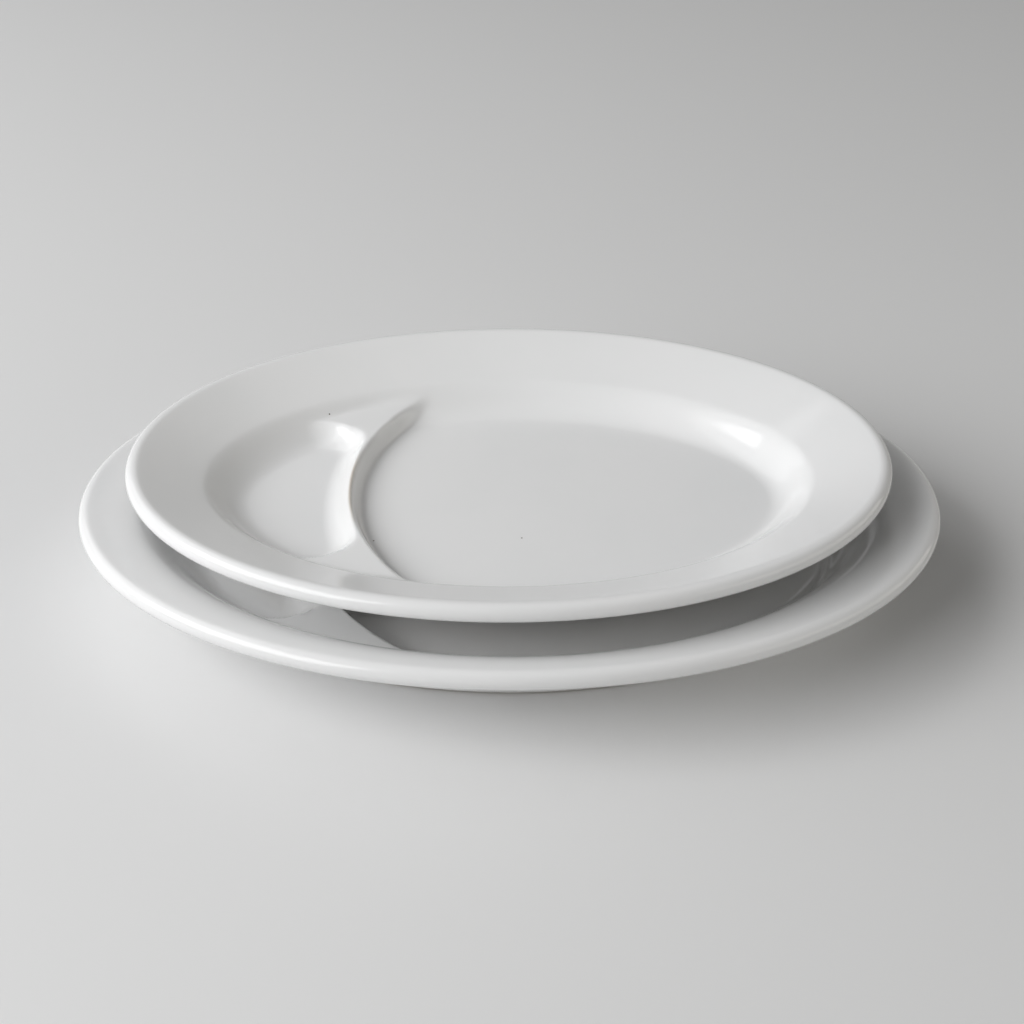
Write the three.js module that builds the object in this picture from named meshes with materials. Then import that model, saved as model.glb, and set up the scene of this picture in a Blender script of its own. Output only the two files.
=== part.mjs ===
// A pair of oval porcelain dumpling plates, the small one stacked on the large one.
// Each plate is one casting: a rolled lip, a sloping rim, a coved well, and a curved divider
// that closes off a small sauce pocket at the left end. Millimetres, +Z up.
// The origin is on the table under the middle of the large plate.
import * as THREE from "three";

// Driving dimensions of the large plate
const LARGE = {
  length: 267,
  width: 188.5,
  height: 30, // table to the top of the lip
  lipRadius: 3.1,
  rimWidth: 6, // outer edge to where the rim starts to curve down, in plan
  rimDrop: 0.35, // top of the lip to that place
  wallWidth: 26, // from that place to the flat floor, in plan
  edgeReach: 15, // how far the curve keeps the slope of the rim
  coveReach: 9, // how far the cove keeps the level of the floor
  endWiden: 5.5, // how much wider the rim is at the two ends
  shoulderInset: 13.5, // underneath, where the rim turns into the outside of the well
  shoulderHeight: 21,
  baseThickness: 6.5,
  footHeight: 3.5,
  footInset: 30.5, // outer edge to the foot ring, in plan
  footWidth: 6.8,
  footChamfer: 0.9,
  crestHeight: 7.4, // divider above the floor
  crestX: -62.7, // middle of the crest
  crestRadius: 82, // bow of the crest, seen from above
  crestWidth: 0.3, // flat of the crest at its narrowest
  sauceRadius: 120, // bow of the crest's sauce side
  steepRun: 3.8, // crest to the floor of the main well
  sauceRun: 10, // crest to the floor of the sauce pocket
  sauceCorner: 15, // plan radius where the pocket's slope turns into the wall
  blend: 2.8, // softness where the divider runs into the wall
};

// Driving dimensions of the small plate, the same design one size down
const SMALL = {
  length: 235,
  width: 167,
  height: 27.15,
  lipRadius: 2.95,
  rimWidth: 22.5,
  rimDrop: 8.3,
  wallWidth: 14,
  edgeReach: 4.5,
  coveReach: 6.5,
  endWiden: 0,
  shoulderInset: 22.5,
  shoulderHeight: 13.95,
  baseThickness: 6,
  footHeight: 3.3,
  footInset: 34.5,
  footWidth: 6,
  footChamfer: 0.8,
  crestHeight: 5.6,
  crestX: -49.3,
  crestRadius: 81.8,
  crestWidth: 0.25,
  sauceRadius: 115,
  steepRun: 3.3,
  sauceRun: 8.6,
  sauceCorner: 13.5,
  blend: 2.5,
};

// How the small plate lies on the large one
const SEAT_GAP = 0.3; // foot of the small plate above the large plate's crest
const SMALL_TURN = 1.1; // degrees, as set down by hand

// Cosine of the angle between the inward sides of the wall and the divider, where they meet
const CORNER_LEAN = -0.65;

// Fineness of the meshes
const SPOKE_STEP = THREE.MathUtils.degToRad(6);
const CREST_CROWDING = 2.8; // extra spokes where the divider meets the wall
const CREST_SPREAD = THREE.MathUtils.degToRad(18);
const LIP_STEPS = 7;
const WALL_STEPS = 8;
const FLOOR_STEPS = 22;
const BISECTIONS = 40;

// Height of the flat floor above the foot's underside.
function floorLevel(plate) {
  return plate.footHeight + plate.baseThickness;
}

// Plan point at an angle round the oval, a given inset inward of the outer edge and square to it.
// Inside the lip the inset grows towards the two ends.
function outlinePoint(plate, angle, inset) {
  const a = plate.length / 2;
  const b = plate.width / 2;
  const normal = new THREE.Vector2(b * Math.cos(angle), a * Math.sin(angle)).normalize();
  const inward = THREE.MathUtils.smoothstep(inset, 2 * plate.lipRadius, plate.shoulderInset);
  const step = inset + plate.endWiden * inward * Math.cos(angle) ** 2;
  return new THREE.Vector2(a * Math.cos(angle), b * Math.sin(angle)).addScaledVector(normal, -step);
}

// Where the crest's arc lies across the plate, for a distance y from the long axis.
function crestLine(plate, y) {
  return plate.crestX + plate.crestRadius - Math.sqrt(plate.crestRadius ** 2 - y ** 2);
}

// The higher of two rises, with a rounded inside corner of the given reach where they meet.
function softMax(reach, one, other) {
  if (reach <= 0) return Math.max(one, other);
  const near = Math.max(reach - Math.abs(one - other), 0);
  return Math.max(one, other) + near ** 2 / (4 * reach);
}

// Distance from the middle of a round corner, for a point that lies `one` and `other` past the
// middle towards the two sides of the corner.
function fromCorner(one, other) {
  const inCorner = one > CORNER_LEAN * other && other > CORNER_LEAN * one;
  if (!inCorner) return Math.max(one, other);
  const square = one ** 2 + other ** 2 - 2 * CORNER_LEAN * one * other;
  return Math.sqrt(square / (1 - CORNER_LEAN ** 2));
}

// Rise of the top side over the floor, where the wall of the well alone would stand at `wall`
// and the edge of the flat floor is `inFloor` away.
// The divider falls steeply into the main well and in a hollow slope into the sauce pocket.
function topRise(plate, x, y, wall, inFloor) {
  const past = plate.crestRadius - Math.hypot(x - plate.crestX - plate.crestRadius, y);
  const sauceEdge = plate.crestX - plate.crestWidth;
  const before = Math.hypot(x - sauceEdge - plate.sauceRadius, y) - plate.sauceRadius;

  // Inside the pocket the slope and the wall meet in a round corner.
  const wallShare = Math.min(wall / plate.crestHeight, 1);
  const fromWall = plate.sauceRun * (1 - Math.sqrt(wallShare)) + inFloor;
  const shortOfWall = plate.sauceCorner - fromWall;
  const shortOfEdge = plate.sauceCorner - before;
  const inside = plate.sauceCorner - fromCorner(shortOfWall, shortOfEdge);
  const down = THREE.MathUtils.clamp(inside / plate.sauceRun, 0, 1);
  const slope = plate.crestHeight * (1 - down) ** 2;

  const closeness = THREE.MathUtils.clamp(shortOfEdge / plate.sauceCorner, 0, 1);
  const met = softMax(Math.min(plate.blend * closeness ** 2, wall, slope), wall, slope);
  const steep = 1 - THREE.MathUtils.smoothstep(past, 0, plate.steepRun);
  return wall + (met - wall) * steep;
}

// Section of the plate from the edge of the floor, over the lip and underneath to the recess
// inside the foot ring: x is the inset from the outer edge, y the height above the table.
function plateSection(plate) {
  const floor = floorLevel(plate);
  const edge = new THREE.Vector2(plate.rimWidth, plate.height - plate.rimDrop);
  const lipCentre = new THREE.Vector2(plate.lipRadius, plate.height - plate.lipRadius);

  // The rim is the line from the well's edge that just touches the top of the lip.
  const toEdge = edge.clone().sub(lipCentre);
  const touch = Math.acos(plate.lipRadius / toEdge.length()) + toEdge.angle() - 2 * Math.PI;
  const rimSlope = new THREE.Vector2(Math.sin(touch), -Math.cos(touch));

  const wallFoot = new THREE.Vector2(plate.rimWidth + plate.wallWidth, floor);
  const wall = new THREE.CubicBezierCurve(
    wallFoot,
    wallFoot.clone().sub(new THREE.Vector2(plate.coveReach, 0)),
    edge.clone().addScaledVector(rimSlope, plate.edgeReach),
    edge,
  );
  const lip = new THREE.EllipseCurve(
    lipCentre.x, lipCentre.y, plate.lipRadius, plate.lipRadius, touch, touch + Math.PI,
  );

  const footOut = plate.footInset;
  const footIn = plate.footInset + plate.footWidth;
  const chamfer = plate.footChamfer;
  const underside = [
    new THREE.Vector2(plate.shoulderInset, plate.shoulderHeight),
    new THREE.Vector2(footOut, plate.footHeight),
    new THREE.Vector2(footOut, chamfer),
    new THREE.Vector2(footOut + chamfer, 0),
    new THREE.Vector2(footIn - chamfer, 0),
    new THREE.Vector2(footIn, chamfer),
    new THREE.Vector2(footIn, plate.footHeight),
  ];
  return [...wall.getPoints(WALL_STEPS), ...lip.getPoints(LIP_STEPS), ...underside];
}

// Angle at which the crest's arc crosses the edge of the floor, on the back half.
function crestAngle(plate) {
  let low = Math.PI / 2;
  let high = Math.PI;
  for (let i = 0; i < BISECTIONS; i++) {
    const middle = (low + high) / 2;
    const point = outlinePoint(plate, middle, plate.rimWidth + plate.wallWidth);
    if (point.x > crestLine(plate, point.y)) low = middle;
    else high = middle;
  }
  return low;
}

// Spoke angles of the back half, from the right end to the left end, one of them on the crest.
function spokeAngles(plate) {
  const crest = crestAngle(plate);
  const angles = [0];
  while (angles.at(-1) < Math.PI) {
    const off = (angles.at(-1) - crest) / CREST_SPREAD;
    const step = SPOKE_STEP / (1 + CREST_CROWDING * Math.exp(-(off ** 2)));
    angles.push(angles.at(-1) + step);
  }
  const stretch = Math.PI / angles.at(-1);
  const spread = angles.map((angle) => angle * stretch);
  const gaps = spread.map((angle) => Math.abs(angle - crest));
  spread[gaps.indexOf(Math.min(...gaps))] = crest;
  return spread;
}

// One plate as a closed mesh, its foot standing on z = 0.
function plateGeometry(plate) {
  const floor = floorLevel(plate);
  const section = plateSection(plate);
  const half = spokeAngles(plate);
  const crest = crestAngle(plate);
  const last = half.length - 1;
  const round = 2 * last;
  const vertices = [];
  const triangles = [];

  const addVertex = (x, y, z) => vertices.push(x, y, z) / 3 - 1;
  // A quad is split along mirrored diagonals on the back and the front half.
  const addQuad = (corners, onBack) => {
    const [a, b, c, d] = onBack ? [...corners.slice(1), corners[0]] : corners;
    triangles.push(a, b, c, a, c, d);
  };

  // Rings round the oval, one for each point of the section. The wall takes in the divider.
  const rings = section.map((point, row) =>
    Array.from({ length: round }, (_, spoke) => {
      const angle = spoke <= last ? half[spoke] : -half[round - spoke];
      const place = outlinePoint(plate, angle, point.x);
      const onWall = row <= WALL_STEPS;
      const z = onWall ? floor + topRise(plate, place.x, place.y, point.y - floor, 0) : point.y;
      return addVertex(place.x, place.y, z);
    }),
  );
  for (let row = 0; row + 1 < rings.length; row++) {
    for (let spoke = 0; spoke < round; spoke++) {
      const next = (spoke + 1) % round;
      const [ring, outer] = [rings[row], rings[row + 1]];
      addQuad([ring[spoke], outer[spoke], outer[next], ring[next]], spoke < last);
    }
  }

  // Floor columns from back to front. They bow with the crest, less and less towards the ends.
  const floorEdge = rings[0];
  const column = (spoke) => {
    const back = outlinePoint(plate, half[spoke], section[0].x);
    const outer = outlinePoint(plate, half[spoke], 0);
    const slant = (outer.y - back.y) / outer.distanceTo(back);
    const bow = half[spoke] < crest ? half[spoke] / crest : (Math.PI - half[spoke]) / (Math.PI - crest);
    const points = [floorEdge[spoke]];
    for (let step = 1; step < FLOOR_STEPS; step++) {
      const y = back.y * (1 - (2 * step) / FLOOR_STEPS);
      const x = back.x + bow * (crestLine(plate, y) - crestLine(plate, back.y));
      const inFloor = (back.y - Math.abs(y)) * slant;
      points.push(addVertex(x, y, floor + topRise(plate, x, y, 0, inFloor)));
    }
    return [...points, floorEdge[round - spoke]];
  };
  const columns = [];
  for (let spoke = 1; spoke < last; spoke++) columns.push(column(spoke));
  for (let step = 0; step < FLOOR_STEPS; step++) {
    triangles.push(floorEdge[0], columns[0][step], columns[0][step + 1]);
    triangles.push(columns.at(-1)[step], floorEdge[last], columns.at(-1)[step + 1]);
  }
  for (let i = 0; i + 1 < columns.length; i++) {
    for (let step = 0; step < FLOOR_STEPS; step++) {
      const [right, left] = [columns[i], columns[i + 1]];
      addQuad([right[step], left[step], left[step + 1], right[step + 1]], step < FLOOR_STEPS / 2);
    }
  }

  // Flat recess inside the foot ring, facing down.
  const recess = rings.at(-1);
  triangles.push(recess[0], recess[round - 1], recess[1]);
  triangles.push(recess[last - 1], recess[last + 1], recess[last]);
  for (let spoke = 1; spoke < last - 1; spoke++) {
    addQuad([recess[spoke], recess[round - spoke], recess[round - spoke - 1], recess[spoke + 1]], false);
  }

  const geometry = new THREE.BufferGeometry();
  geometry.setAttribute("position", new THREE.Float32BufferAttribute(vertices, 3));
  geometry.setIndex(triangles);
  geometry.computeVertexNormals();
  return geometry;
}

// A named plate in clear-glazed white porcelain.
function makePlate(name, plate) {
  const glaze = new THREE.MeshStandardMaterial({ color: 0xe8e8e5, roughness: 0.14, metalness: 0 });
  const mesh = new THREE.Mesh(plateGeometry(plate), glaze);
  mesh.name = name;
  return mesh;
}

const largePlate = makePlate("large_plate", LARGE);

// The small plate's foot stands on the crest of the large plate's divider.
const smallPlate = makePlate("small_plate", SMALL);
smallPlate.position.z = floorLevel(LARGE) + LARGE.crestHeight + SEAT_GAP;
smallPlate.rotation.z = THREE.MathUtils.degToRad(SMALL_TURN);

const stack = new THREE.Group();
stack.add(largePlate, smallPlate);

export default stack;
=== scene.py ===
# %% [markdown]
# # A stack of two porcelain dumpling plates
# Two oval plates of one design lie on each other, the small one on the large one. Each is a
# single casting in white porcelain under a clear glossy glaze: a rolled lip, a rim, a coved well,
# and a bowed divider that closes off a pocket for dipping sauce.
# The solid model gives the places and the moving bodies. This lesson makes the smooth surfaces
# and the finish. Everything is in metres, in the frame of the solid model.

# %% Load the frame
import math

import bpy
import numpy as np
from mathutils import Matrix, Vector


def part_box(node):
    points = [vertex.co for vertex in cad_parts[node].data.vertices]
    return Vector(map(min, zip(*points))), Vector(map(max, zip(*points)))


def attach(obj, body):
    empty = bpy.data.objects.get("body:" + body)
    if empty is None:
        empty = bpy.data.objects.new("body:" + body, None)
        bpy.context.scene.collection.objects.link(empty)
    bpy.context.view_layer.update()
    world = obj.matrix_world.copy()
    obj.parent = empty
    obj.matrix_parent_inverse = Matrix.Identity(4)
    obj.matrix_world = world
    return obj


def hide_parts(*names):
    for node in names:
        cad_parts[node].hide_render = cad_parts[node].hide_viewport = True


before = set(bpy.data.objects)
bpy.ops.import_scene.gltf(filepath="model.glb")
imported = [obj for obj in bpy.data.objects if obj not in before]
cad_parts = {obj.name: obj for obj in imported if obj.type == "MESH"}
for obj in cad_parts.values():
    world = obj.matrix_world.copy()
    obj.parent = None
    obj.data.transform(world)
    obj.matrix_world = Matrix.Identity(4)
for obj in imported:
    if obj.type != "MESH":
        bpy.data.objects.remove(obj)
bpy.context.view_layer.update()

MM = 0.001


def in_mm(lengths):
    return [round(float(length) / MM, 2) for length in lengths]


# %% [markdown]
# ## Sizes
# A plate maker draws one design and scales it to a range, then adjusts lip, foot and divider by
# hand for each size. So each plate has its own list of sizes, with the same names as in the solid
# model, and one set of functions makes both.

# %% Sizes of the two plates
LARGE = dict(
    length=267 * MM, width=188.5 * MM, height=30 * MM,
    lip_radius=3.1 * MM, rim_width=6 * MM, rim_drop=0.35 * MM, wall_width=26 * MM,
    edge_reach=15 * MM, cove_reach=9 * MM, end_widen=5.5 * MM,
    shoulder_inset=13.5 * MM, shoulder_height=21 * MM,
    base_thickness=6.5 * MM, foot_height=3.5 * MM, foot_inset=30.5 * MM, foot_width=6.8 * MM,
    crest_height=7.4 * MM, crest_x=-62.7 * MM, crest_radius=82 * MM, crest_width=0.3 * MM,
    sauce_radius=120 * MM, steep_run=3.8 * MM, sauce_run=10 * MM, sauce_corner=15 * MM,
    blend=2.8 * MM,
)
SMALL = dict(
    length=235 * MM, width=167 * MM, height=27.15 * MM,
    lip_radius=2.95 * MM, rim_width=22.5 * MM, rim_drop=8.3 * MM, wall_width=14 * MM,
    edge_reach=4.5 * MM, cove_reach=6.5 * MM, end_widen=0 * MM,
    shoulder_inset=22.5 * MM, shoulder_height=13.95 * MM,
    base_thickness=6 * MM, foot_height=3.3 * MM, foot_inset=34.5 * MM, foot_width=6 * MM,
    crest_height=5.6 * MM, crest_x=-49.3 * MM, crest_radius=81.8 * MM, crest_width=0.25 * MM,
    sauce_radius=115 * MM, steep_run=3.3 * MM, sauce_run=8.6 * MM, sauce_corner=13.5 * MM,
    blend=2.5 * MM,
)
for name, plate in (("large_plate", LARGE), ("small_plate", SMALL)):
    low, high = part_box(name)
    print(name, "solid and drawn height in mm:", in_mm([high.z - low.z, plate["height"]]))

# %% [markdown]
# ## The oval
# Seen from above, every line of the plate runs beside the oval edge: the rim, the edge of the well
# and the foot ring. On the small plate they keep their distance all the way round; on the large one
# they lie further in at the two ends. So a point is found on the edge first and then stepped inward,
# square to the edge, a little further towards the ends where the plate asks for it.

# %% A point of the oval
def smoothstep(value, low, high):
    """A smooth ramp from 0 at the low value to 1 at the high one."""
    t = np.clip((value - low) / (high - low), 0, 1)
    return t * t * (3 - 2 * t)


def outline_point(plate, angle, inset):
    """Plan points at the angles, stepped inward from the outer edge."""
    half_length = plate["length"] / 2
    half_width = plate["width"] / 2
    across = half_width * np.cos(angle)
    along = half_length * np.sin(angle)
    norm = np.hypot(across, along)
    inward = smoothstep(inset, 2 * plate["lip_radius"], plate["shoulder_inset"])
    step = inset + plate["end_widen"] * inward * np.cos(angle) ** 2
    x = half_length * np.cos(angle) - step * across / norm
    y = half_width * np.sin(angle) - step * along / norm
    return x, y


print("large plate's right end in mm:", in_mm(outline_point(LARGE, 0.0, 0.0)))

# %% [markdown]
# ## The section
# Cut through, the plate is a jiggered profile: floor, cove, rim, rolled lip, and back underneath
# over the shoulder to the foot ring and the recess inside it. It could be a lathe profile if the
# plate were round. Here it is a list of insets and heights that is swept round the oval. Corners
# are rounded with short curves, because clay and glaze leave no sharp edge.

# %% Curves of the section
CURVE_STEPS = 60


def bezier(points):
    """A smooth curve from the first control point to the last, drawn towards those between."""
    t = np.linspace(0, 1, CURVE_STEPS + 1)[:, None]
    rows = [np.broadcast_to(np.asarray(point, float), (CURVE_STEPS + 1, 2)) for point in points]
    while len(rows) > 1:
        rows = [(1 - t) * one + t * two for one, two in zip(rows, rows[1:])]
    return rows[0]


def rounded(corners, radii):
    """A run of straight lines with each inner corner rounded off."""
    corners = [np.asarray(corner, float) for corner in corners]
    run = [corners[0][None]]
    for before, corner, after, radius in zip(corners, corners[1:], corners[2:], radii):
        back = (before - corner) / np.linalg.norm(before - corner)
        ahead = (after - corner) / np.linalg.norm(after - corner)
        half_turn = math.acos(np.clip(back @ ahead, -1, 1)) / 2
        reach = radius / math.tan(half_turn)
        run.append(bezier([corner + back * reach, corner, corner + ahead * reach]))
    return np.vstack(run + [corners[-1][None]])


print("points on one curve:", CURVE_STEPS + 1)

# %% [markdown]
# The upper line starts at the floor's edge, climbs out of the cove into the rim and goes over the
# rolled lip, which the rim touches without a kink. The lower line goes on from there in straight
# cuts with rounded corners, which is what a trimming tool leaves on a foot ring.

# %% The section of a plate
SHOULDER_ROUND = 8 * MM
FOOT_FILLET = 2.4 * MM
FOOT_ROUND = 1.3 * MM
RECESS_MARGIN = 8 * MM


def floor_height(plate):
    return plate["foot_height"] + plate["base_thickness"]


def upper_line(plate):
    """Insets and heights from the floor's edge, up the wall and over the lip."""
    lip_radius = plate["lip_radius"]
    edge = np.array([plate["rim_width"], plate["height"] - plate["rim_drop"]])
    lip_centre = np.array([lip_radius, plate["height"] - lip_radius])
    to_edge = edge - lip_centre
    touch = math.acos(lip_radius / np.linalg.norm(to_edge)) + math.atan2(to_edge[1], to_edge[0])
    rim_slope = np.array([math.sin(touch), -math.cos(touch)])
    wall_foot = np.array([plate["rim_width"] + plate["wall_width"], floor_height(plate)])
    cove = wall_foot - [plate["cove_reach"], 0]
    wall = bezier([wall_foot, cove, edge + rim_slope * plate["edge_reach"], edge])
    roll = np.linspace(touch, touch + math.pi, CURVE_STEPS)
    lip = lip_centre + lip_radius * np.stack([np.cos(roll), np.sin(roll)], axis=1)
    return np.vstack([wall, lip])


def lower_line(plate, lip_end):
    """Insets and heights from the lip, over the shoulder and the foot, to the recess inside it."""
    foot_height = plate["foot_height"]
    foot_out = plate["foot_inset"]
    foot_in = foot_out + plate["foot_width"]
    corners = [
        lip_end,
        (plate["shoulder_inset"], plate["shoulder_height"]),
        (foot_out, foot_height),
        (foot_out, 0),
        (foot_in, 0),
        (foot_in, foot_height),
        (foot_in + RECESS_MARGIN, foot_height),
    ]
    return rounded(corners, [SHOULDER_ROUND, FOOT_FILLET, FOOT_ROUND, FOOT_ROUND, FOOT_FILLET])


def plate_section(plate):
    upper = upper_line(plate)
    return np.vstack([upper, lower_line(plate, upper[-1])[1:]])


print("section points:", len(plate_section(LARGE)))

# %% [markdown]
# A glossy glaze shows every jump in curvature as a kink in its reflections. So the section is
# walked at small even steps, softened a little as flowing glaze would do it, and then cut into
# rings that lie close together where it bends and further apart where it is straight.

# %% Soften the section and place the rings
WALK_STEP = 0.1 * MM
SAME_PLACE = 1e-9
GLAZE_FLOW = 0.45 * MM
FLOW_REACH = 4
RING_LONGEST = 1.3 * MM
RING_TURN = math.radians(5)


def walk(points):
    """The same line at small even steps."""
    lengths = np.linalg.norm(np.diff(points, axis=0), axis=1)
    apart = lengths > SAME_PLACE
    points = points[np.append(True, apart)]
    along = np.append(0, np.cumsum(lengths[apart]))
    wanted = np.linspace(0, along[-1], round(along[-1] / WALK_STEP) + 1)
    return np.stack([np.interp(wanted, along, points[:, i]) for i in (0, 1)], axis=1)


def soften(points):
    """A moving average along the line that keeps both ends in place."""
    reach = math.ceil(FLOW_REACH * GLAZE_FLOW / WALK_STEP)
    weights = np.exp(-0.5 * (np.arange(-reach, reach + 1) * WALK_STEP / GLAZE_FLOW) ** 2)
    weights /= weights.sum()
    padded = [np.pad(points[:, i], reach, mode="reflect", reflect_type="odd") for i in (0, 1)]
    return np.stack([np.convolve(line, weights, mode="valid") for line in padded], axis=1)


def ring_places(points):
    """A few points of the line, close together where it bends."""
    steps = np.diff(points, axis=0)
    heading = np.unwrap(np.arctan2(steps[:, 1], steps[:, 0]))
    turning = np.abs(np.gradient(heading))
    cost = np.linalg.norm(steps, axis=1) / RING_LONGEST + turning / RING_TURN
    spent = np.append(0, np.cumsum(cost))
    wanted = np.linspace(0, spent[-1], math.ceil(spent[-1]) + 1)
    return np.stack([np.interp(wanted, spent, points[:, i]) for i in (0, 1)], axis=1)


def section_rings(plate):
    return ring_places(soften(walk(plate_section(plate))))


print("rings:", len(section_rings(LARGE)), "and", len(section_rings(SMALL)))

# %% [markdown]
# ## The divider
# The divider is a ridge pressed into the clay. From its crest it falls steeply into the main well
# and in a hollow slope into the sauce pocket, where it turns into the wall in a round corner. The
# steep side follows a tight arc and the slope a wider one, so the crest is narrow in the middle and
# widens into two flat lands at the walls.
# Two distances are needed for that: from the crest, and from the middle of the round corner. Wall
# and divider don't meet squarely there. The corner's lean says by how much: it is the cosine of the
# angle between the way to the wall and the way to the divider.

# %% Distances round the divider
CORNER_LEAN = -0.65


def divider_sides(plate, x, y):
    """How far a point lies past the crest, into the main well and into the sauce pocket."""
    bow, line = plate["crest_radius"], plate["sauce_radius"]
    past = bow - np.hypot(x - plate["crest_x"] - bow, y)
    before = np.hypot(x - plate["crest_x"] + plate["crest_width"] - line, y) - line
    return past, before


def from_corner(one, other):
    """Distance from the middle of the round corner between the wall and the divider."""
    square = one ** 2 + other ** 2 - 2 * CORNER_LEAN * one * other
    in_corner = (one > CORNER_LEAN * other) & (other > CORNER_LEAN * one)
    reach = np.sqrt(np.maximum(square, 0) / (1 - CORNER_LEAN ** 2))
    return np.where(in_corner, reach, np.maximum(one, other))


print("small plate's middle to its crest in mm:", in_mm(divider_sides(SMALL, 0.0, 0.0)))

# %% [markdown]
# All of the divider is one rule for the height of the top side. The rule asks how far a point lies
# from the slope's upper edge and how far down the wall it is, and rounds the nearer of the two.

# %% Rise of the top side
FAR_FROM_WALL = 40 * MM


def soft_max(reach, one, other):
    """The higher of two rises, with a rounded inside corner of the given reach."""
    reach = np.maximum(reach, SAME_PLACE)
    near = np.maximum(reach - np.abs(one - other), 0)
    return np.maximum(one, other) + near ** 2 / (4 * reach)


def top_rise(plate, x, y, wall, in_floor):
    """Rise over the floor, for the wall's own rise and the distance from the floor's edge."""
    past, before = divider_sides(plate, x, y)
    corner, run, crest = plate["sauce_corner"], plate["sauce_run"], plate["crest_height"]
    from_wall = run * (1 - np.sqrt(np.clip(wall / crest, 0, 1))) + in_floor
    short_of_edge = corner - before
    inside = corner - from_corner(corner - from_wall, short_of_edge)
    slope = crest * (1 - np.clip(inside / run, 0, 1)) ** 2
    closeness = np.clip(short_of_edge / corner, 0, 1)
    reach = np.minimum(np.minimum(wall, slope), plate["blend"] * closeness ** 2)
    met = soft_max(reach, wall, slope)
    steep = 1 - smoothstep(past, 0, plate["steep_run"])
    return wall + (met - wall) * steep


crests = [top_rise(plate, plate["crest_x"], 0.0, 0.0, FAR_FROM_WALL) for plate in (LARGE, SMALL)]
print("crests over the floors in mm:", in_mm(crests))

# %% [markdown]
# ## Spokes and columns
# The rings are joined by spokes round the oval. They crowd together where the divider runs into
# the wall. Inside the floor's edge each spoke goes on as a column from back to front, bowed like
# the crest, so that one column lies exactly on it. A plain square grid would step across the
# crest and its highlight would look like a saw.

# %% Spokes
SPOKE_STEP = math.radians(1.5)
CREST_CROWDING = 2.4
CREST_SPREAD = math.radians(20)
ANGLE_TRIES = 20001


def crest_line(plate, y):
    """How far along the plate the crest lies, for places across it."""
    return plate["crest_x"] + plate["crest_radius"] - np.sqrt(plate["crest_radius"] ** 2 - y ** 2)


def crest_angle(plate, floor_inset):
    """Where the crest crosses the edge of the floor, on the back half."""
    angles = np.linspace(math.pi / 2, math.pi, ANGLE_TRIES)
    x, y = outline_point(plate, angles, floor_inset)
    return angles[np.argmin(np.abs(x - crest_line(plate, y)))]


def spoke_angles(crest):
    """Angles of the back half from the right end to the left end."""
    angles = [0.0]
    while angles[-1] < math.pi:
        off = (angles[-1] - crest) / CREST_SPREAD
        angles.append(angles[-1] + SPOKE_STEP / (1 + CREST_CROWDING * math.exp(-off * off)))
    angles = np.array(angles) * math.pi / angles[-1]
    angles[np.argmin(np.abs(angles - crest))] = crest
    return angles


small_spokes = spoke_angles(crest_angle(SMALL, section_rings(SMALL)[0, 0]))
print("spokes on the small plate's back half:", len(small_spokes))

# %% [markdown]
# Rings and spokes make a net of quads from the floor's edge over the lip to the recess under the
# foot. The divider lifts the net only in the well, so the rule for the top side is asked there
# and nowhere else.

# %% Net of the rings
RIM_MARGIN = 3 * MM


def ring_net(plate, section, angles):
    """Points of the rings, their numbers, and the quads between them."""
    inset = section[:, :1]
    x, y = outline_point(plate, angles[None], inset)
    height = np.broadcast_to(section[:, 1:], x.shape)
    before_lip = np.arange(len(section)) < np.argmax(section[:, 1])
    in_well = before_lip[:, None] & (inset > plate["rim_width"] - RIM_MARGIN)
    floor = floor_height(plate)
    met = floor + top_rise(plate, x, y, np.maximum(height - floor, 0), 0.0)
    points = np.stack([x, y, np.where(in_well, met, height)], axis=-1)
    numbers = np.arange(x.size).reshape(x.shape)
    turned = np.roll(numbers, -1, axis=1)
    quads = np.stack([numbers[:-1], numbers[1:], turned[1:], turned[:-1]], axis=-1)
    return points, numbers, quads.reshape(-1, 4)


half_net = ring_net(SMALL, section_rings(SMALL), small_spokes)[0]
print("small plate's net in mm, from", in_mm(half_net.min((0, 1))), "to", in_mm(half_net.max((0, 1))))

# %% [markdown]
# The first ring encloses the floor and the last one the recess under the foot. Columns close both:
# bowed ones on the floor, straight ones in the recess. At the two ends of the oval a fan of
# triangles closes what is left.

# %% Columns inside a ring
def column_places(plate, half, crest, edge, steps, bow):
    """Plan points of the columns inside one ring, and how far inside it they lie."""
    spokes = half[1:-1, None]
    back = edge[1:len(half) - 1]
    back_x, back_y = back[:, :1], back[:, 1:2]
    y = back_y * (1 - 2 * np.arange(1, steps) / steps)
    share = np.where(spokes < crest, spokes / crest, (math.pi - spokes) / (math.pi - crest))
    lean = crest_line(plate, y) - crest_line(plate, back_y)
    x = back_x + bow * share * lean
    out_x, out_y = outline_point(plate, spokes, 0.0)
    slant = (out_y - back_y) / np.hypot(out_x - back_x, out_y - back_y)
    return x, y, (back_y - np.abs(y)) * slant


def column_faces(ring, last, inner):
    """Quads between the columns, and triangles that close the two ends of the ring."""
    column = np.hstack([ring[1:last, None], inner, ring[:last:-1, None]])
    quads = np.stack([column[:-1, :-1], column[1:, :-1], column[1:, 1:], column[:-1, 1:]], axis=-1)
    steps = column.shape[1] - 1
    right = np.stack([np.full(steps, ring[0]), column[0, :-1], column[0, 1:]], axis=-1)
    left = np.stack([column[-1, :-1], np.full(steps, ring[last]), column[-1, 1:]], axis=-1)
    return quads.reshape(-1, 4), np.vstack([right, left])


print("columns across the small plate:", len(small_spokes) - 2)

# %% [markdown]
# Rings, floor and recess together are one closed skin. Their points are numbered in that order, and
# the faces of the recess are turned over, because it is seen from below.

# %% Skin of a plate
FLOOR_STEPS = 84
RECESS_STEPS = 12
BOWED = 1.0
STRAIGHT = 0.0


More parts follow.
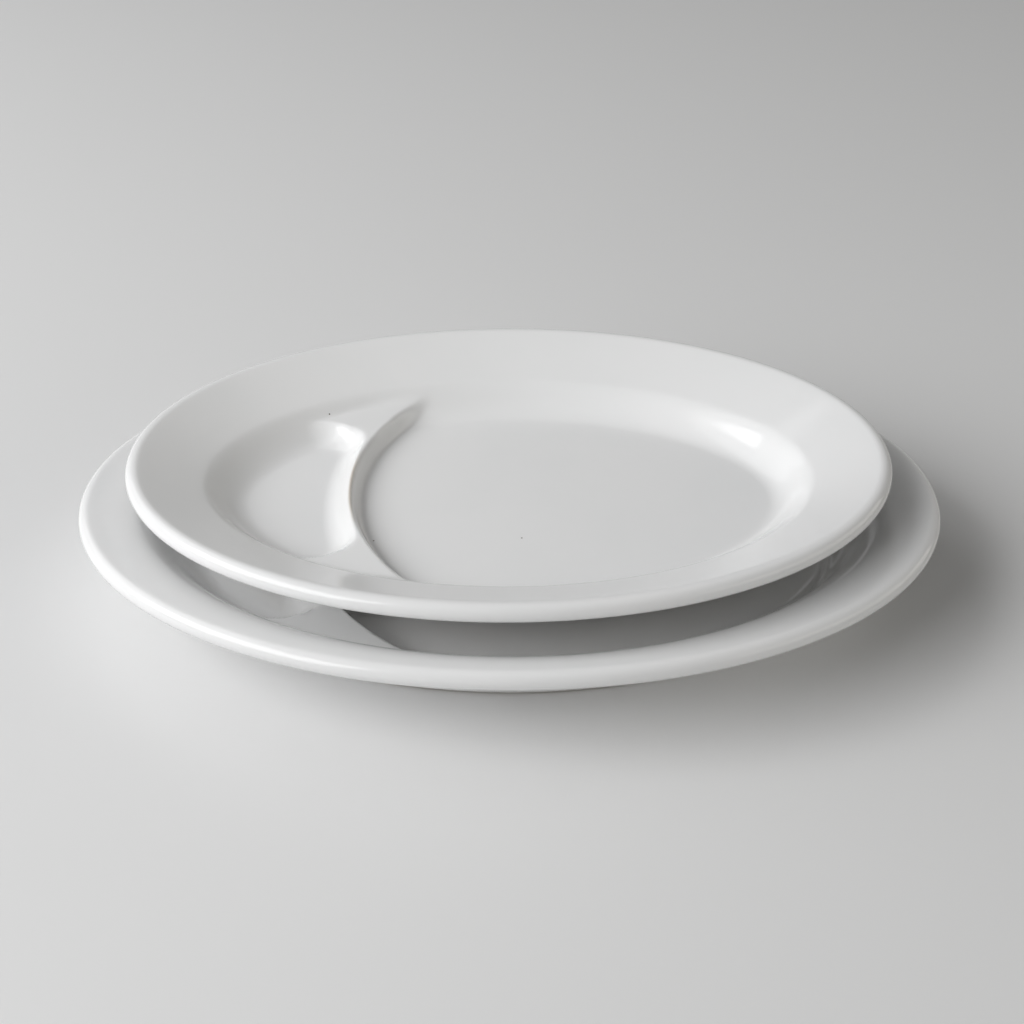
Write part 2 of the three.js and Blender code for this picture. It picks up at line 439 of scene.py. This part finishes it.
def plate_mesh(plate):
    """Points, quads and triangles of a plate round its own middle."""
    section = section_rings(plate)
    crest = crest_angle(plate, section[0, 0])
    half = spoke_angles(crest)
    last = len(half) - 1
    rings, numbers, ring_quads = ring_net(plate, section, np.concatenate([half, -half[-2:0:-1]]))

    x, y, inside = column_places(plate, half, crest, rings[0], FLOOR_STEPS, BOWED)
    floor = np.stack([x, y, floor_height(plate) + top_rise(plate, x, y, 0.0, inside)], axis=-1)
    inner = numbers.size + np.arange(x.size).reshape(x.shape)
    floor_quads, floor_ends = column_faces(numbers[0], last, inner)

    first = numbers.size + inner.size
    x, y, _ = column_places(plate, half, crest, rings[-1], RECESS_STEPS, STRAIGHT)
    recess = np.stack([x, y, np.full(x.shape, plate["foot_height"])], axis=-1)
    inner = first + np.arange(x.size).reshape(x.shape)
    recess_quads, recess_ends = column_faces(numbers[-1], last, inner)

    points = np.vstack([part.reshape(-1, 3) for part in (rings, floor, recess)])
    quads = np.vstack([ring_quads, floor_quads, recess_quads[:, ::-1]])
    triangles = np.vstack([floor_ends, recess_ends[:, ::-1]])
    return points, quads, triangles


small_skin = plate_mesh(SMALL)
print("small plate's points, quads and triangles:", [len(part) for part in small_skin])

# %% [markdown]
# ## Glaze in the corners
# Glaze is thick liquid glass when it melts. It runs off edges and pools in corners. A few rounds of
# averaging the heights round the divider do the same to the mesh, and only there. For that, each
# point has to know its neighbours, so the edges of all faces are listed first.

# %% Neighbours and flow
FLOW_ROUNDS = 3
FLOW_SHARE = 0.5
FLOW_MARGIN = 5 * MM
FLOOR_TOLERANCE = 0.01 * MM
WALL_FADE = (0.9, 1.0)


def neighbour_pairs(quads, triangles):
    """The two points of every edge, once in each direction."""
    edges = []
    for faces in (quads, triangles):
        edges.append(np.stack([faces, np.roll(faces, -1, axis=1)], axis=-1).reshape(-1, 2))
    pairs = np.unique(np.sort(np.vstack(edges), axis=1), axis=0)
    return np.vstack([pairs, pairs[:, ::-1]])


def neighbour_mean(values, pairs):
    """The mean value of each point's neighbours."""
    total = np.bincount(pairs[:, 0], values[pairs[:, 1]], minlength=len(values))
    return total / np.bincount(pairs[:, 0], minlength=len(values))


def flow_weight(plate, points):
    """1 round the divider on the upper side, fading to 0 away from it."""
    x, y, z = points.T
    past, before = divider_sides(plate, x, y)
    steep = 1 - smoothstep(past, plate["steep_run"], plate["steep_run"] + FLOW_MARGIN)
    gentle = 1 - smoothstep(before, plate["sauce_run"], plate["sauce_run"] + FLOW_MARGIN)
    rise = z - floor_height(plate)
    in_well = (rise > -FLOOR_TOLERANCE) & (rise < plate["crest_height"] + plate["blend"])
    along = x / (plate["length"] / 2 - plate["rim_width"])
    across = y / (plate["width"] / 2 - plate["rim_width"])
    return steep * gentle * in_well * (1 - smoothstep(along ** 2 + across ** 2, *WALL_FADE))


def let_glaze_flow(plate, points, pairs):
    """Even out the heights round the divider, in place."""
    weight = FLOW_SHARE * flow_weight(plate, points)
    for _ in range(FLOW_ROUNDS):
        points[:, 2] += weight * (neighbour_mean(points[:, 2], pairs) - points[:, 2])


print("points that flow:", int((flow_weight(SMALL, small_skin[0]) > 0).sum()))

# %% [markdown]
# Over a convex edge the glaze is thin and the warm clay shows through. The neighbour lists also give
# the bend of the surface at each point: how fast the normals turn from one point to the next. The
# bend becomes a number from 0 to 1 that the finish reads.

# %% Bend and thin glaze
SHORTEST_EDGE = 0.001 * MM
THIN_BEND = 1 / (1.3 * MM)
THIN_START = 0.35


def surface_bend(points, normals, pairs):
    """Mean bend at each point, in 1/m, positive on convex edges."""
    one, two = pairs[:, 0], pairs[:, 1]
    apart = points[two] - points[one]
    bend = np.einsum("ij,ij->i", normals[two] - normals[one], apart)
    bend /= np.maximum(np.einsum("ij,ij->i", apart, apart), SHORTEST_EDGE ** 2)
    return np.bincount(one, bend, len(points)) / np.bincount(one, minlength=len(points))


def thin_share(points, normals, pairs):
    """0 where the glaze is even, up to 1 over the sharpest edges, evened out once."""
    bend = surface_bend(points, normals, pairs)
    thin = smoothstep(bend, THIN_START * THIN_BEND, THIN_BEND)
    return (thin + neighbour_mean(thin, pairs)) / 2


print("glaze is thinnest from a bend of", round(THIN_BEND), "per metre")

# %% [markdown]
# ## Materials
# A finish could be clicked together in the shader editor. Here it is written down as a recipe, so
# that both plates get the same one. A few helpers each add one kind of node and hand on its output.

# %% Node helpers
# The mix node has sockets for several kinds of value. These are the numbers of its colour sockets.
MIX_ONE = 6
MIX_TWO = 7
MIX_RESULT = 2


def new_material(name):
    material = bpy.data.materials.new(name)
    material.use_nodes = True
    tree = material.node_tree
    return material, tree, tree.nodes["Principled BSDF"]


def add_node(tree, kind, **settings):
    node = tree.nodes.new(kind)
    for key, value in settings.items():
        setattr(node, key, value)
    return node


def noise(tree, vector, scale, detail=2.0):
    node = add_node(tree, "ShaderNodeTexNoise")
    node.inputs["Scale"].default_value = scale
    node.inputs["Detail"].default_value = detail
    tree.links.new(vector, node.inputs["Vector"])
    return node.outputs["Fac"]


def blend_colours(tree, factor, one, two):
    """A colour mix. Each of the two colours is a socket or a plain colour."""
    node = add_node(tree, "ShaderNodeMix", data_type="RGBA")
    tree.links.new(factor, node.inputs["Factor"])
    for value, socket in ((one, node.inputs[MIX_ONE]), (two, node.inputs[MIX_TWO])):
        if isinstance(value, tuple):
            socket.default_value = (*value, 1)
        else:
            tree.links.new(value, socket)
    return node.outputs[MIX_RESULT]


def remap(tree, value, low, high, to_low=0.0, to_high=1.0):
    """A smooth ramp between two values."""
    node = add_node(tree, "ShaderNodeMapRange", interpolation_type="SMOOTHSTEP")
    node.inputs["From Min"].default_value = low
    node.inputs["From Max"].default_value = high
    node.inputs["To Min"].default_value = to_low
    node.inputs["To Max"].default_value = to_high
    tree.links.new(value, node.inputs["Value"])
    return node.outputs["Result"]


def bump(tree, heights, depth):
    node = add_node(tree, "ShaderNodeBump")
    node.inputs["Strength"].default_value = 1.0
    node.inputs["Distance"].default_value = depth
    tree.links.new(heights, node.inputs["Height"])
    return node.outputs["Normal"]


print("helpers for noise, colour mixes, ramps and bumps are ready")

# %% [markdown]
# The body is white porcelain under a clear gloss glaze. A single white would look like plastic, so
# the glaze has a very faint mottle from its uneven thickness, a warm tint where it is thin, a slow
# ripple in its surface that bends reflections, and the odd iron speck from the clay.

# %% Glazed porcelain
GLAZE_WHITE = (0.86, 0.86, 0.86)
GLAZE_SHADE = (0.845, 0.848, 0.848)
THIN_GLAZE = (0.56, 0.49, 0.41)
SPECK_BROWN = (0.10, 0.075, 0.05)
SPECK_RADIUS = 0.33 * MM
SPECK_CORE = 0.5 * SPECK_RADIUS
MOTTLE_SCALE = 28
MOTTLE_DETAIL = 4
MOTTLE_RANGE = (0.35, 0.7)
RIPPLE_SCALE = 30
RIPPLE_DEPTH = 0.02 * MM
GLAZE_ROUGHNESS = 0.11
GLAZE_IOR = 1.46


def add_speck(tree, place, colour, centre):
    """The colour with one small dark spot in it."""
    distance = add_node(tree, "ShaderNodeVectorMath", operation="DISTANCE")
    distance.inputs[1].default_value = centre
    tree.links.new(place, distance.inputs[0])
    spot = remap(tree, distance.outputs["Value"], SPECK_CORE, SPECK_RADIUS, 1.0, 0.0)
    return blend_colours(tree, spot, colour, SPECK_BROWN)


def glaze_material(name, specks):
    material, tree, shader = new_material(name)
    place = add_node(tree, "ShaderNodeTexCoord").outputs["Object"]
    mottle = remap(tree, noise(tree, place, MOTTLE_SCALE, MOTTLE_DETAIL), *MOTTLE_RANGE)
    colour = blend_colours(tree, mottle, GLAZE_WHITE, GLAZE_SHADE)
    thin = add_node(tree, "ShaderNodeAttribute", attribute_name="thin_glaze").outputs["Fac"]
    colour = blend_colours(tree, thin, colour, THIN_GLAZE)
    for speck in specks:
        colour = add_speck(tree, place, colour, speck)
    ripple = bump(tree, noise(tree, place, RIPPLE_SCALE), RIPPLE_DEPTH)
    tree.links.new(colour, shader.inputs["Base Color"])
    tree.links.new(ripple, shader.inputs["Normal"])
    shader.inputs["Roughness"].default_value = GLAZE_ROUGHNESS
    shader.inputs["IOR"].default_value = GLAZE_IOR
    return material


print("glaze white:", GLAZE_WHITE, "and over edges:", THIN_GLAZE)

# %% [markdown]
# The foot ring is wiped clean before firing so that the plate doesn't stick to the kiln shelf. What
# is left there is bare biscuit porcelain: matt, a little creamy, with a fine sandy grain.

# %% Bare clay of the foot ring
CLAY_LIGHT = (0.74, 0.70, 0.64)
CLAY_DARK = (0.64, 0.59, 0.52)
GRAIN_SCALE = 900
GRAIN_DETAIL = 6
GRAIN_RANGE = (0.3, 0.7)
GRAIN_DEPTH = 0.08 * MM
CLAY_ROUGHNESS = 0.8

bare_clay, clay_tree, clay_shader = new_material("bare_clay")
clay_place = add_node(clay_tree, "ShaderNodeTexCoord").outputs["Object"]
grain = noise(clay_tree, clay_place, GRAIN_SCALE, GRAIN_DETAIL)
clay_tone = blend_colours(clay_tree, remap(clay_tree, grain, *GRAIN_RANGE), CLAY_LIGHT, CLAY_DARK)
clay_tree.links.new(clay_tone, clay_shader.inputs["Base Color"])
clay_tree.links.new(bump(clay_tree, grain, GRAIN_DEPTH), clay_shader.inputs["Normal"])
clay_shader.inputs["Roughness"].default_value = CLAY_ROUGHNESS
print("made", bare_clay.name)

# %% [markdown]
# ## The plates
# Each plate is made round its own middle, turned and lifted to where its solid lies. A speck is known
# by its place as seen from above, so its height is looked up on the upper side. The faces that lie
# on the table are the ones without glaze.

# %% Placing and looking up
UPPER_SIDE = 0.3
BARE_HEIGHT = 0.5 * MM


def turned_and_lifted(points, turn, lift):
    x, y, z = points.T
    cos, sin = math.cos(turn), math.sin(turn)
    return np.stack([cos * x - sin * y, sin * x + cos * y, z + lift], axis=1)


def point_normals(mesh):
    normals = np.zeros(len(mesh.vertices) * 3)
    mesh.vertices.foreach_get("normal", normals)
    return normals.reshape(-1, 3)


def on_upper_side(points, normals, spot):
    """The place on the upper side that lies over a plan point."""
    upper = np.flatnonzero(normals[:, 2] > UPPER_SIDE)
    offset = np.asarray(spot) - points[upper, :2]
    near = int(np.argmin(np.hypot(offset[:, 0], offset[:, 1])))
    point, normal = points[upper[near]], normals[upper[near]]
    return (*spot, float(point[2] - offset[near] @ normal[:2] / normal[2]))


def faces_on_foot(mesh, points):
    """1 for each face of the foot ring's underside, 0 for all others."""
    bare = points[:, 2] < BARE_HEIGHT
    return [int(bare[list(face.vertices)].all()) for face in mesh.polygons]


small_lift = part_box("small_plate")[0].z
print("small plate stands", *in_mm([small_lift]), "mm over the table")

# %% [markdown]
# Then each plate rides on its body: the large one stands on the table, the small one lifts off. The
# smooth mesh takes the place of the solid, which is hidden.

# %% Make the plates
SMALL_TURN = math.radians(1.1)
SMALL_SPECKS = [(3.9 * MM, -21.7 * MM), (-40.9 * MM, -23.4 * MM), (-59.4 * MM, 42.1 * MM)]


def make_plate(name, plate, lift, turn, specks):
    points, quads, triangles = plate_mesh(plate)
    pairs = neighbour_pairs(quads, triangles)
    let_glaze_flow(plate, points, pairs)
    placed = turned_and_lifted(points, turn, lift)
    mesh = bpy.data.meshes.new(name)
    mesh.from_pydata(placed.tolist(), [], quads.tolist() + triangles.tolist())
    mesh.shade_smooth()

    normals = point_normals(mesh)
    thin = thin_share(placed, normals, pairs)
    layer = mesh.attributes.new("thin_glaze", "FLOAT", "POINT")
    layer.data.foreach_set("value", thin.astype(np.float32))

    specks = [on_upper_side(placed, normals, spot) for spot in specks]
    mesh.materials.append(glaze_material(name + "_glaze", specks))
    mesh.materials.append(bare_clay)
    on_foot = faces_on_foot(mesh, points)
    mesh.polygons.foreach_set("material_index", on_foot)

    piece = bpy.data.objects.new(name + "_porcelain", mesh)
    bpy.context.scene.collection.objects.link(piece)
    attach(piece, name)
    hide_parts(name)
    print(piece.name, "has", len(points), "points and", sum(on_foot), "bare faces under its foot")


make_plate("large_plate", LARGE, 0.0, 0.0, [])
make_plate("small_plate", SMALL, small_lift, SMALL_TURN, SMALL_SPECKS)

# %% [markdown]
# ## Table
# The plates stand on a round sheet of pale paper. It only has to be larger than what the camera sees
# and what the glaze mirrors. Its faint uneven tone comes from a slow noise, and its pale colour alone
# makes the background pale.

# %% Table
TABLE_RADIUS = 1.25
TABLE_SIDES = 96
TABLE_DROP = 0.2 * MM

around = np.linspace(0, 2 * math.pi, TABLE_SIDES, endpoint=False)
edge = [(TABLE_RADIUS * math.cos(a), TABLE_RADIUS * math.sin(a), -TABLE_DROP) for a in around]
table_mesh = bpy.data.meshes.new("table")
table_mesh.from_pydata(edge, [], [tuple(range(TABLE_SIDES))])
table = bpy.data.objects.new("table", table_mesh)
bpy.context.scene.collection.objects.link(table)
print("table:", 2 * TABLE_RADIUS, "m across")

# %% Paper
PAPER_GREY = (0.81, 0.81, 0.81)
PAPER_SHADE = (0.797, 0.797, 0.797)
PAPER_SCALE = 3
PAPER_ROUGHNESS = 0.9
PAPER_SHINE = 0.1

paper, paper_tree, paper_shader = new_material("paper")
paper_place = add_node(paper_tree, "ShaderNodeTexCoord").outputs["Object"]
paper_noise = noise(paper_tree, paper_place, PAPER_SCALE)
paper_tone = blend_colours(paper_tree, paper_noise, PAPER_GREY, PAPER_SHADE)
paper_tree.links.new(paper_tone, paper_shader.inputs["Base Color"])
paper_shader.inputs["Roughness"].default_value = PAPER_ROUGHNESS
paper_shader.inputs["Specular IOR Level"].default_value = PAPER_SHINE
table_mesh.materials.append(paper)
print("paper grey:", PAPER_GREY)

# %% [markdown]
# ## Light
# Glossy white porcelain is lit with large soft panels, so that its highlights stay broad and mild.
# The main panel stands at the front left and a second one at the left, which is why the shadows
# fall to the right. A faint panel overhead and a warm reflector at the right keep the shadows open.
# Panels are placed by the angle at which the plates see them: their size in degrees says how soft
# a shadow is, and their brightness how strong a highlight.

# %% Light
DAYLIGHT = (0.995, 0.998, 1.0)
WARM_BOUNCE = (1.0, 0.97, 0.90)
LAMP_AIM = Vector((0, 0, 0.02))


def soft_panel(name, azimuth, elevation, across, up, distance, brightness, colour):
    """A glowing panel, placed and sized by how the plates see it.

    Azimuth runs from the left towards the camera. All angles are in degrees.
    """
    turn, climb = math.radians(azimuth), math.radians(elevation)
    level = math.cos(climb)
    way = Vector((-math.cos(turn) * level, -math.sin(turn) * level, math.sin(climb)))
    lamp = bpy.data.lights.new(name, "AREA")
    lamp.shape = "RECTANGLE"
    lamp.size = 2 * distance * math.tan(math.radians(across / 2))
    lamp.size_y = 2 * distance * math.tan(math.radians(up / 2))
    lamp.energy = brightness * math.pi * lamp.size * lamp.size_y
    lamp.color = colour
    holder = bpy.data.objects.new(name, lamp)
    holder.location = LAMP_AIM + way * distance
    holder.rotation_euler = (-way).to_track_quat("-Z", "Y").to_euler()
    bpy.context.scene.collection.objects.link(holder)
    print(name, round(lamp.size, 2), "by", round(lamp.size_y, 2), "m,", round(lamp.energy, 1), "W")


soft_panel("key_lamp", azimuth=27, elevation=33.5, across=54, up=34,
           distance=1.5, brightness=4.55, colour=DAYLIGHT)
soft_panel("side_lamp", azimuth=-18, elevation=43, across=60, up=40,
           distance=1.6, brightness=1.14, colour=DAYLIGHT)
soft_panel("top_lamp", azimuth=0, elevation=82, across=60, up=60,
           distance=2.0, brightness=0.27, colour=DAYLIGHT)
soft_panel("right_reflector", azimuth=172, elevation=15, across=75, up=25,
           distance=2.4, brightness=1.45, colour=WARM_BOUNCE)

# %% [markdown]
# ## Room
# Past the paper lies a pale room. Eyes and reflections see it as pale grey, but it hardly lights the
# plates, so the shadows stay. The kind of ray that asks decides which of the two it gets.

# %% Room
FILL_STRENGTH = 0.02
ROOM_STRENGTH = 0.5
WHITE = (1, 1, 1, 1)

world = bpy.data.worlds.new("pale_room")
world.use_nodes = True
room_tree = world.node_tree
ray = add_node(room_tree, "ShaderNodeLightPath")
seen = ray.outputs["Is Camera Ray"]
for kind in ("Is Glossy Ray", "Is Transmission Ray"):
    either = add_node(room_tree, "ShaderNodeMath", operation="ADD", use_clamp=True)
    room_tree.links.new(seen, either.inputs[0])
    room_tree.links.new(ray.outputs[kind], either.inputs[1])
    seen = either.outputs["Value"]
room_light = remap(room_tree, seen, 0.0, 1.0, FILL_STRENGTH, ROOM_STRENGTH)
background = room_tree.nodes["Background"]
background.inputs["Color"].default_value = WHITE
room_tree.links.new(room_light, background.inputs["Strength"])
bpy.context.scene.world = world
bpy.context.scene.view_settings.view_transform = "Standard"
print("room:", FILL_STRENGTH, "as light,", ROOM_STRENGTH, "as seen")

# %% [markdown]
# ## Camera
# The camera looks down on the stack from the front, from about an arm's length away. Its height,
# lens and small shift are what make both lips lie as two ovals in the frame, one inside the other.

# %% Camera
CAMERA_BACK = 506.0 * MM
CAMERA_UP = 322.4 * MM
CAMERA_TURN = math.radians(0.26)
CAMERA_LENS = 67.49
CAMERA_SENSOR = 36
CAMERA_SHIFT = (0.0027, -0.0120)

target = Vector((0, 0, LARGE["height"] - LARGE["lip_radius"]))
back = Vector((math.sin(CAMERA_TURN), -math.cos(CAMERA_TURN), 0)) * CAMERA_BACK
camera = bpy.data.cameras.new("camera")
camera.sensor_width = CAMERA_SENSOR
camera.lens = CAMERA_LENS
camera.shift_x, camera.shift_y = CAMERA_SHIFT
eye = bpy.data.objects.new("camera", camera)
eye.location = target + back + Vector((0, 0, CAMERA_UP))
eye.rotation_euler = (target - eye.location).to_track_quat("-Z", "Y").to_euler()
bpy.context.scene.collection.objects.link(eye)
bpy.context.scene.camera = eye
print("camera", round((eye.location - target).length, 3), "m from the plates")
